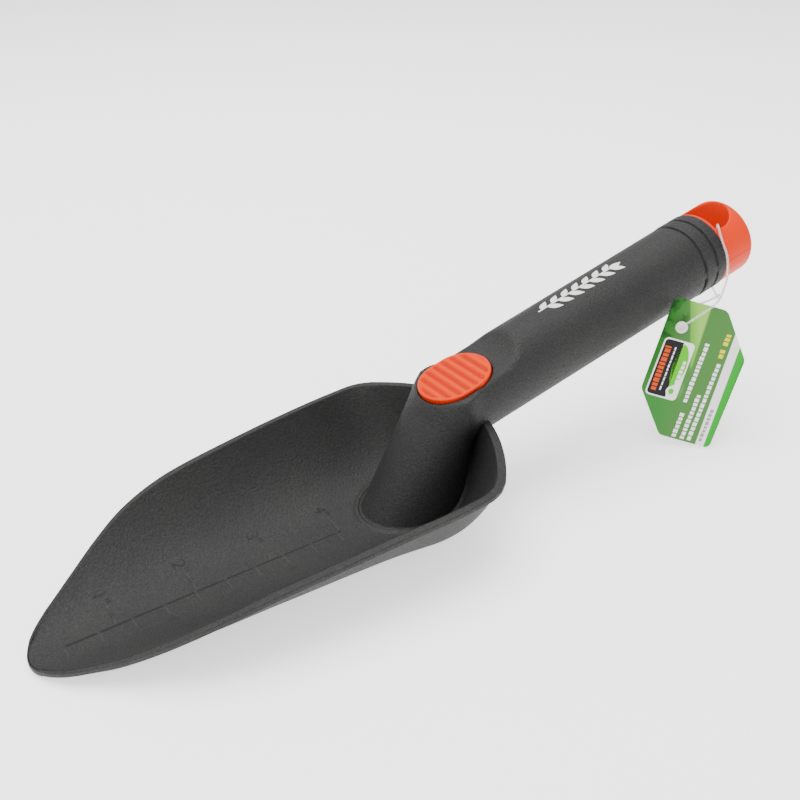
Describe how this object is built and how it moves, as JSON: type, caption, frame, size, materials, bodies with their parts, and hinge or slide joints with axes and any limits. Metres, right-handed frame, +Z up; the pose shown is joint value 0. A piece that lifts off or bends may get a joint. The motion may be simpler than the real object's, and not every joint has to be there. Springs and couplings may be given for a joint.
{
  "type": "hand trowel",
  "caption": "Wide plastic hand trowel with a scoop blade, straight round handle, thumb rest, hanging cap and a card tag on a filament loop.",
  "frame": {"origin": "middle of the trowel's length and width, at the level it rests on", "axes": "+X from the blade's tip to the handle's end, +Y across the blade, +Z up, out of the scoop's open side"},
  "size_m": [0.2824, 0.085, 0.0822],
  "materials": {
    "body_plastic": "fine-grained charcoal plastic",
    "accent_plastic": "smooth satin orange plastic",
    "tag_card": "printed coated card",
    "loop_filament": "clear filament"
  },
  "bodies": {
    "trowel": {"trowel_body": "body_plastic", "thumb_pad": "accent_plastic", "end_cap": "accent_plastic"},
    "loop": {"tag_loop": "loop_filament", "loop_lock": "loop_filament"},
    "tag": {"hang_tag": "tag_card"}
  },
  "joints": [
    {"name": "loop_swing", "type": "hinge", "parent": "trowel", "child": "loop", "pos_m": [0.12159, -0.0091, 0.07624], "axis": [-0.9728, 0, -0.2317], "range_deg": [0, 12]},
    {"name": "tag_twist", "type": "hinge", "parent": "loop", "child": "tag", "pos_m": [0.09631, -0.01909, 0.04756], "axis": [0, 0, 1], "range_deg": [-8, 20]}
  ]
}
